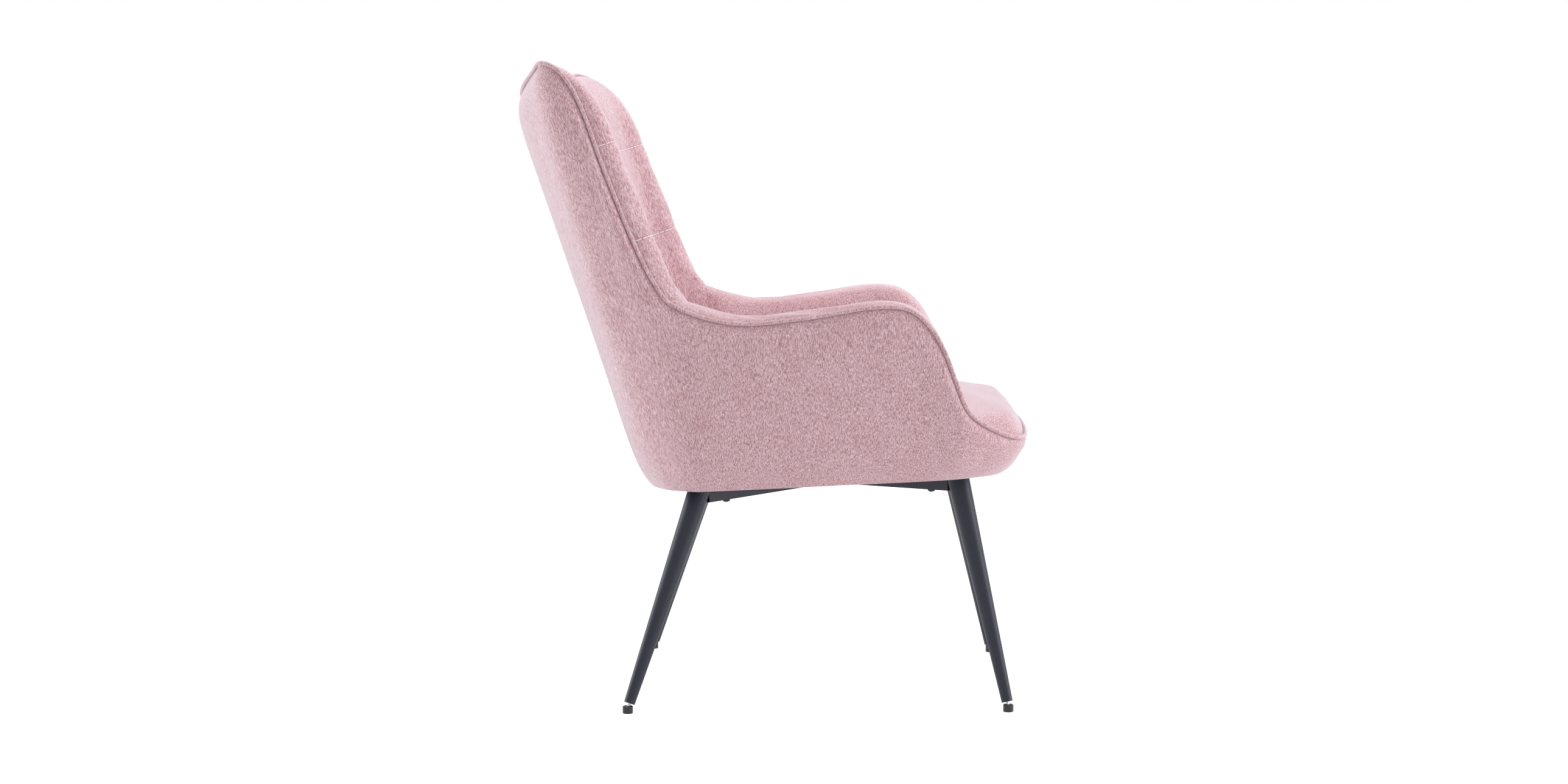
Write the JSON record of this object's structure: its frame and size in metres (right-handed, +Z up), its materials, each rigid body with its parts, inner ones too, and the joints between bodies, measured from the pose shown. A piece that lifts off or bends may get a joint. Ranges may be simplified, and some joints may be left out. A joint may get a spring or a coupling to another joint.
{
  "type": "upholstered armchair",
  "caption": "High-back upholstered armchair with winged back, sloping arms, welted seams and splayed tapered metal legs on levelling glides.",
  "frame": {"origin": "on the floor under the middle of the overall box", "axes": "+Z up, the sitter faces -Y, the sitter's left is +X; the chair is its own mirror image across X = 0"},
  "size_m": [0.6798, 0.7772, 0.9518],
  "materials": {
    "pink_fabric": "woven melange upholstery fabric, matte",
    "foam": "open-cell upholstery foam",
    "steel_black": "matte black powder coat",
    "zinc_steel": "zinc-plated steel",
    "plastic_black": "moulded black plastic",
    "plywood": "plain plywood",
    "dust_cloth": "black spun-bonded lining",
    "support_sheet": "flexible black sheet"
  },
  "bodies": {
    "chair": {"leg_front_left": "steel_black", "leg_front_right": "steel_black", "leg_rear_left": "steel_black", "leg_rear_right": "steel_black", "cross_bar_long": "steel_black", "cross_bar_short_front": "steel_black", "cross_bar_short_rear": "steel_black", "leg_plugs": "plastic_black", "frame_bolts": "steel_black", "frame_washers": "steel_black", "tee_nuts": "zinc_steel", "dust_cover": "dust_cloth", "seat_board": "plywood", "back_frame_tube": "steel_black", "arm_frame_tube_left": "steel_black", "arm_frame_tube_right": "steel_black", "frame_tabs": "zinc_steel", "tab_screws": "zinc_steel", "back_support_sheet": "support_sheet", "seat_foam": "foam", "back_foam": "foam", "arm_foam_left": "foam", "arm_foam_right": "foam", "seat_cover": "pink_fabric", "back_cover_inner": "pink_fabric", "arm_cover_left": "pink_fabric", "arm_cover_right": "pink_fabric", "back_cover_outer": "pink_fabric", "side_cover_outer": "pink_fabric", "welt_back": "pink_fabric", "welt_front": "pink_fabric"},
    "stud_front_left": {"glide_stud_front_left": "zinc_steel"},
    "pad_front_left": {"glide_pad_front_left": "plastic_black"},
    "stud_front_right": {"glide_stud_front_right": "zinc_steel"},
    "pad_front_right": {"glide_pad_front_right": "plastic_black"},
    "stud_rear_left": {"glide_stud_rear_left": "zinc_steel"},
    "pad_rear_left": {"glide_pad_rear_left": "plastic_black"},
    "stud_rear_right": {"glide_stud_rear_right": "zinc_steel"},
    "pad_rear_right": {"glide_pad_rear_right": "plastic_black"}
  },
  "joints": [
    {"name": "glide_height_front_left", "type": "slide", "parent": "chair", "child": "stud_front_left", "axis": [0.1833, -0.2117, -0.96], "range_m": [0, 0.008]},
    {"name": "glide_tilt_front_left", "type": "hinge", "parent": "stud_front_left", "child": "pad_front_left", "pos_m": [0.2645, -0.3536, 0.0075], "axis": [-0.756, -0.6545, 0], "range_deg": [-3, 35.5]},
    {"name": "glide_height_front_right", "type": "slide", "parent": "chair", "child": "stud_front_right", "axis": [-0.1833, -0.2117, -0.96], "range_m": [0, 0.008]},
    {"name": "glide_tilt_front_right", "type": "hinge", "parent": "stud_front_right", "child": "pad_front_right", "pos_m": [-0.2645, -0.3536, 0.0075], "axis": [-0.756, 0.6545, 0], "range_deg": [-3, 35.5]},
    {"name": "glide_height_rear_left", "type": "slide", "parent": "chair", "child": "stud_rear_left", "axis": [0.246, 0.2995, -0.9219], "range_m": [0, 0.008]},
    {"name": "glide_tilt_rear_left", "type": "hinge", "parent": "stud_rear_left", "child": "pad_rear_left", "pos_m": [0.289, 0.2054, 0.0075], "axis": [0.7728, -0.6347, 0], "range_deg": [-3, 48.6]},
    {"name": "glide_height_rear_right", "type": "slide", "parent": "chair", "child": "stud_rear_right", "axis": [-0.246, 0.2995, -0.9219], "range_m": [0, 0.008]},
    {"name": "glide_tilt_rear_right", "type": "hinge", "parent": "stud_rear_right", "child": "pad_rear_right", "pos_m": [-0.289, 0.2054, 0.0075], "axis": [0.7728, 0.6347, 0], "range_deg": [-3, 48.6]}
  ]
}
